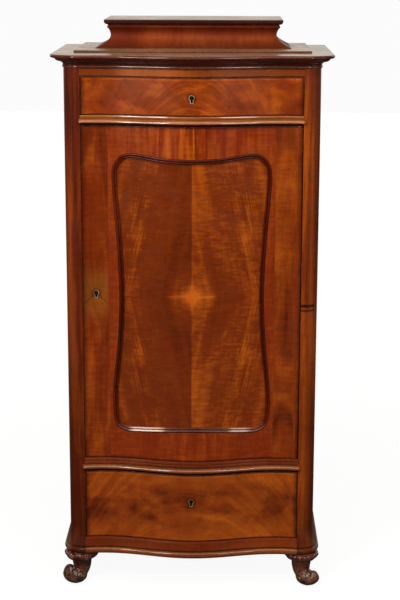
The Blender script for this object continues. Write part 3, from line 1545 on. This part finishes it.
def nailMarks(place, shade):
    # rusty nail heads, driven flush in rows across the boards behind
    nails = backNails
    along = sums("FRACT", place.x * (1 / nails["apart"])) - 0.5
    across = along * nails["apart"]
    uneven = place.z + centred(noise(place, 9, 1), nails["uneven"])
    off = 1.0
    for board, edge, inwards in nails["rows"]:
        off = sums("MINIMUM", off, abs(uneven - (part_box(board)[edge].z + inwards)))
    away = sums("SQRT", across * across + off * off)
    behind = rescale(place.y, backY - 0.002, backY - 0.001)
    shade = mixed(behind * eased(away, 0.003, 0.011, 0.45, 0.0), shade, stains["nailStain"])
    return mixed(behind * rescale(away, 0.0021, 0.0027, 1.0, 0.0), shade, stains["nailHead"])


backNails = {
    "apart": 0.0687,
    "uneven": 0.010,
    "rows": (
        ("back_panel", 0, 0.016), ("lower_divider_board", 0, 0.0075), ("shelf_lower", 0, 0.008),
        ("shelf_upper", 0, 0.008), ("upper_divider_board", 0, 0.0075), ("back_panel", 1, -0.014),
    ),
}
screws = {"fromEdge": 0.0065, "head": 0.0030, "rise": 0.30, "uneven": 0.0004, "seed": 0}


def makeScrews():
    # a round head near each corner of every lock case
    tree, given, sockets = newTree("heads in rows", {
        "Middle": "Vector",
        "Wide": "Float",
        "High": "Float",
        "Head": "Float",
        "Flatness": "Vector",
        "Uneven": "Float",
        "Seed": "Int",
        "Finish": "Material",
    })
    corners = {"Vertices X": 2, "Vertices Y": 2, "Size X": given["Wide"], "Size Y": given["High"]}
    grid = wired(tree, "GeometryNodeMeshGrid", corners, "Mesh")
    plugs = {0: (-1, -1, 0), 1: (1, 1, 0), "Seed": given["Seed"]}
    jitter = wired(tree, "FunctionNodeRandomValue", plugs, data_type="FLOAT_VECTOR")
    offset = wired(tree, "ShaderNodeVectorMath", {0: jitter, "Scale": given["Uneven"]}, operation="SCALE")
    shaken = wired(tree, "GeometryNodeSetPosition", {"Geometry": grid, "Offset": offset})
    plugs = {"Segments": 20, "Rings": 10, "Radius": given["Head"]}
    ball = wired(tree, "GeometryNodeMeshUVSphere", plugs, "Mesh")
    plugs = {"Points": shaken, "Instance": ball, "Scale": given["Flatness"]}
    heads = wired(tree, "GeometryNodeInstanceOnPoints", plugs)
    turn = (math.radians(-90), 0, 0)
    plugs = {"Geometry": heads, "Translation": given["Middle"], "Rotation": turn}
    finishGrowth(wired(tree, "GeometryNodeTransform", plugs), given["Finish"])
    material = makeMetal("screwHeads", "brass")
    for place in locked:
        low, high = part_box(f"{place}_lock_case")
        owner = addObject("owner", bpy.data.meshes.new("owner"))
        piece = grown(owner, tree, sockets, {
            "Middle": ((low.x + high.x) / 2, high.y, (low.z + high.z) / 2),
            "Wide": high.x - low.x - 2 * screws["fromEdge"],
            "High": high.z - low.z - 2 * screws["fromEdge"],
            "Head": screws["head"],
            "Flatness": (1.0, 1.0, screws["rise"]),
            "Uneven": screws["uneven"],
            "Seed": screws["seed"],
            "Finish": material,
        }, f"{place}_lock_screws")
        dress(piece, place, "brass", material)


def dressFrame():
    made = {}
    for number, (node, piece) in enumerate(sorted(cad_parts.items())):
        kind, grain = finishFor(node)
        marks = nailMarks if node == "back_panel" else None
        key = (kind, grain, number % 3 if grain else 0, marks)
        if key not in made:
            if grain:
                name = f"{kind}{grain.upper()}{len(made)}"
                made[key] = makeWood(name, kind, 1.3 + number, None, marks, grain)
            else:
                made[key] = makeMetal(kind, kind)
        piece.data.materials.clear()
        piece.data.materials.append(made[key])


# camera, floor and light
cameraView = {
    "place": (0.0837, -4.1169, 1.692),
    "tiltDown": 12.867,
    "turn": 0.901,
    "roll": 0.153,
    "lens": 93.4,
}
studio = {
    "floorSize": 24.0,
    "backdrop": 0.97,
    "surround": 0.13,
    "behind": 0.85,
    "floorBounce": 0.10,
    "floorShade": 0.09,
    "floorNear": 0.93,
    "floorFar": 0.98,
    "glow": (1.0, 0.95, 0.88, 1.0),
    "aim": 0.9,
}
lights = {
    "key": {"place": (-1.55, -3.0, 2.30), "size": (0.50, 1.7), "watts": 70, "tint": (1.0, 0.93, 0.84)},
    "fill": {"place": (1.55, -3.0, 2.10), "size": (0.40, 1.5), "watts": 29, "tint": (1.0, 0.94, 0.86)},
    "top": {"place": (0.0, -2.3, 3.5), "size": (2.6, 1.4), "watts": 62, "tint": (1.0, 0.95, 0.88)},
    "leftPanel": {"place": (-1.9, -0.85, 1.1), "size": (1.1, 2.0), "watts": 4.5, "tint": (1.0, 0.92, 0.82)},
    "rightPanel": {"place": (1.9, -0.85, 1.1), "size": (1.1, 2.0), "watts": 6, "tint": (1.0, 0.92, 0.82)},
}


def makeCamera():
    data = bpy.data.cameras.new("camera")
    data.lens = cameraView["lens"]
    data.sensor_fit = "AUTO"
    data.sensor_width = 36.0
    camera = addObject("camera", data)
    turn = Matrix.Rotation(math.radians(cameraView["turn"]), 4, "Z")
    tilt = Matrix.Rotation(math.radians(90 - cameraView["tiltDown"]), 4, "X")
    roll = Matrix.Rotation(math.radians(cameraView["roll"]), 4, "Z")
    camera.matrix_world = Matrix.Translation(cameraView["place"]) @ turn @ tilt @ roll
    bpy.context.scene.camera = camera


def makeFloor():
    half = studio["floorSize"] / 2
    mesh = bpy.data.meshes.new("floor")
    corners = [(-half, -half, 0), (half, -half, 0), (half, half, 0), (-half, half, 0)]
    mesh.from_pydata(corners, [], [(0, 1, 2, 3)])
    material, shader, place = startMaterial("paleFloor")
    away = distance(place, (0, 0, 0))
    seen = wired(place.tree, "ShaderNodeLightPath", output="Is Camera Ray")
    tone = rescale(noise(place, 3), 0.3, 0.7, 0.98, 1.02)
    tone = tone * rescale(seen, 0, 1, studio["floorBounce"], studio["floorShade"])
    feed(shader, {
        "Base Color": joined(tone, tone, tone),
        "Roughness": 0.9,
        "Specular IOR Level": 0.1,
        "Emission Color": (1, 1, 1, 1),
        "Emission Strength": eased(away, 0.3, 3.0, studio["floorNear"], studio["floorFar"]) * seen,
    })
    mesh.materials.append(material)
    addObject("floor", mesh)


def makeWorld():
    # white to the camera; dim for the rest, but for a pale wall behind that the tops reflect
    world = bpy.data.worlds.new("studio")
    world.use_nodes = True
    tree = world.node_tree
    along = parted(wired(tree, "ShaderNodeTexCoord", output="Generated"))[1]
    behind = eased(along, 0.45, 0.85, studio["surround"], studio["behind"])
    seen = wired(tree, "ShaderNodeLightPath", output="Is Camera Ray")
    feed(tree.nodes["Background"], {
        "Color": mixed(seen, studio["glow"], (1.0, 1.0, 1.0, 1.0)),
        "Strength": rescale(seen, 0, 1, behind, studio["backdrop"]),
    })
    bpy.context.scene.world = world
    bpy.context.scene.view_settings.view_transform = "Standard"


def makeLight(name, light):
    data = bpy.data.lights.new(name, "AREA")
    data.shape = "RECTANGLE"
    data.size, data.size_y = light["size"]
    data.energy = light["watts"]
    data.color = light["tint"]
    lamp = addObject(name, data)
    aim = Vector((0, 0, studio["aim"])) - Vector(light["place"])
    lamp.visible_camera = False
    lamp.matrix_world = Matrix.Translation(light["place"]) @ aim.to_track_quat("-Z", "Y").to_matrix().to_4x4()


makeCamera()
makeFloor()
makeWorld()
for lightName, light in lights.items():
    makeLight(lightName, light)
print("camera, floor and lights made")
dressFrame()
print("frame nodes dressed")
makePosts()
makeSides()
makeRails()
makeCornice()
print("case made")
makePlinth()
makeTopBox()
print("box made")
makeDoor()
makeMoulding()
print("door made")
makeDrawerFronts()
makeKeyPlates()
makeScrews()
print("drawers and locks made")
makeFrontFeet()
print("feet made")
